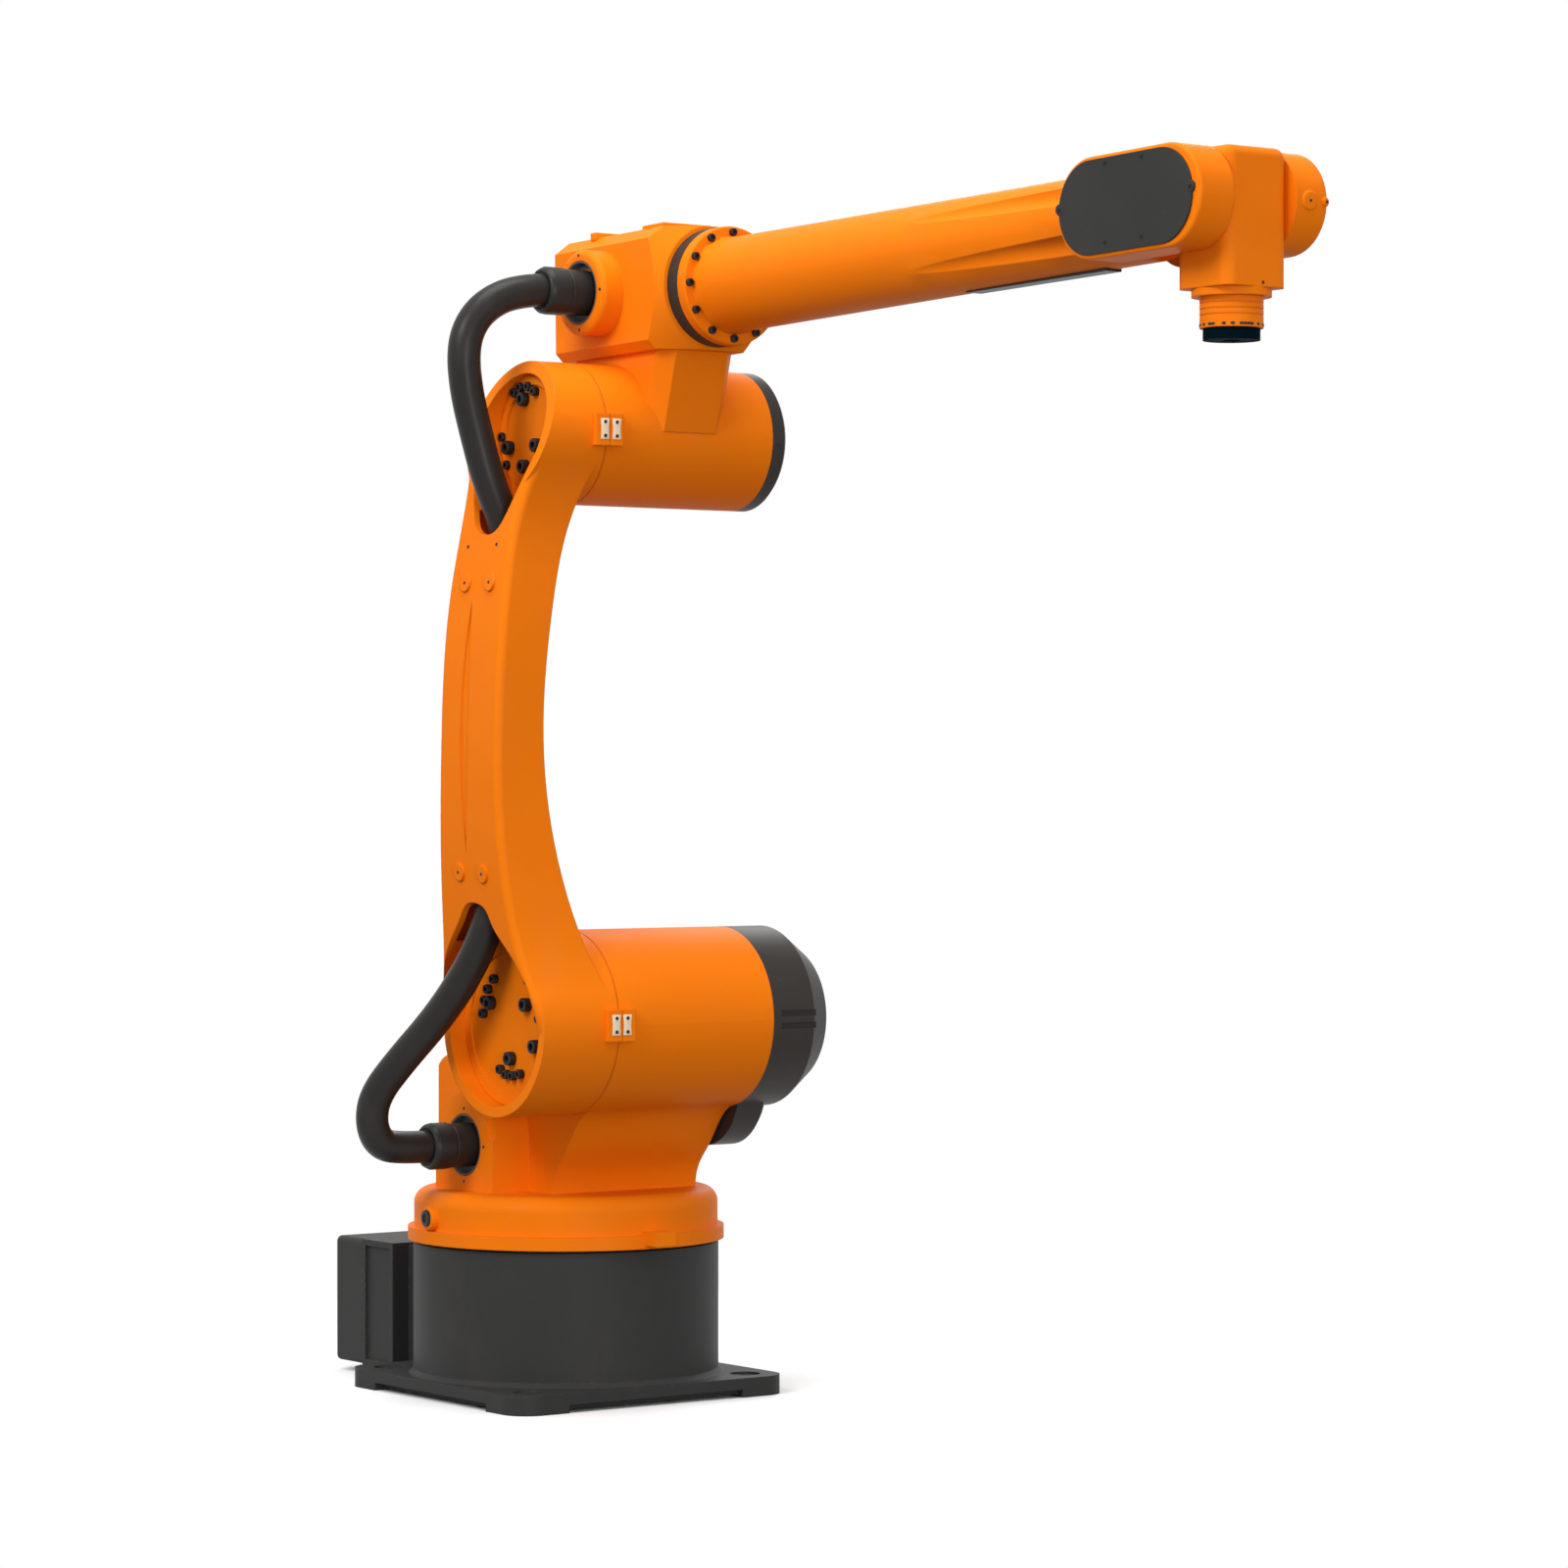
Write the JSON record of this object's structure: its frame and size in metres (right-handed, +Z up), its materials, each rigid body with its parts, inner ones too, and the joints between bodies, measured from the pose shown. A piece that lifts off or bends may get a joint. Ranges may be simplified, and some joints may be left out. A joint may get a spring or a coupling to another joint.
{
  "type": "six-axis industrial robot arm",
  "caption": "Floor-mounted articulated robot arm with a bowed hollow upper arm, tubular forearm, forked wrist, tool flange and two hose loops.",
  "frame": {"origin": "waist axis where the base's underside meets the floor", "axes": "+Z up along the waist axis, +X the way the forearm points at rest, +Y towards the shoulder motor"},
  "size_m": [1.7437, 0.5466, 1.4972],
  "materials": {
    "orange_paint": "satin",
    "grey_paint": "satin",
    "dark_plastic": "matte",
    "gland_plastic": "satin",
    "hose_rubber": "satin",
    "flange_steel": "satin"
  },
  "bodies": {
    "base": {"base_casting": "grey_paint", "connection_box": "grey_paint", "waist_bearing": "dark_plastic"},
    "waist": {"waist_casting": "orange_paint", "shoulder_motor_cover": "dark_plastic", "waist_hose_gland": "gland_plastic", "shoulder_mark_inner": "orange_paint", "lower_hose": "hose_rubber"},
    "upper_arm": {"upper_arm_casting": "orange_paint", "shoulder_hub_cover": "orange_paint", "elbow_hub_cover": "orange_paint", "shoulder_mark_outer": "orange_paint", "elbow_mark_outer": "orange_paint"},
    "elbow": {"elbow_casting": "orange_paint", "elbow_end_cap": "dark_plastic", "elbow_hose_gland": "gland_plastic", "forearm_seal": "dark_plastic", "elbow_top_cover": "orange_paint", "elbow_rear_cover": "orange_paint", "elbow_mark_inner": "orange_paint", "upper_hose": "hose_rubber"},
    "forearm": {"forearm_casting": "orange_paint", "wrist_belt_cover": "grey_paint", "forearm_cable_strip": "dark_plastic"},
    "wrist": {"wrist_block": "orange_paint"},
    "tool": {"tool_flange": "flange_steel"}
  },
  "joints": [
    {"name": "waist_turn", "type": "hinge", "parent": "base", "child": "waist", "pos_m": [0, 0, 0.2], "axis": [0, 0, 1], "range_deg": [-170, 170]},
    {"name": "shoulder_tilt", "type": "hinge", "parent": "waist", "child": "upper_arm", "pos_m": [0.16, 0, 0.489], "axis": [0, 1, 0], "range_deg": [-90, 50], "deforming": ["lower_hose"]},
    {"name": "elbow_tilt", "type": "hinge", "parent": "upper_arm", "child": "elbow", "pos_m": [0.20924, 0, 1.23037], "axis": [0, -1, 0], "range_deg": [-75, 90], "deforming": ["upper_hose"]},
    {"name": "forearm_roll", "type": "hinge", "parent": "elbow", "child": "forearm", "pos_m": [0.36089, 0, 1.41123], "axis": [0.9998, 0, 0.0187], "range_deg": [-180, 180]},
    {"name": "wrist_tilt", "type": "hinge", "parent": "forearm", "child": "wrist", "pos_m": [1.31572, 0, 1.42906], "axis": [0, 1, 0], "range_deg": [-216, 34]},
    {"name": "tool_turn", "type": "hinge", "parent": "wrist", "child": "tool", "pos_m": [1.31572, 0, 1.28806], "axis": [0, 0, -1], "range_deg": [-360, 360]}
  ]
}
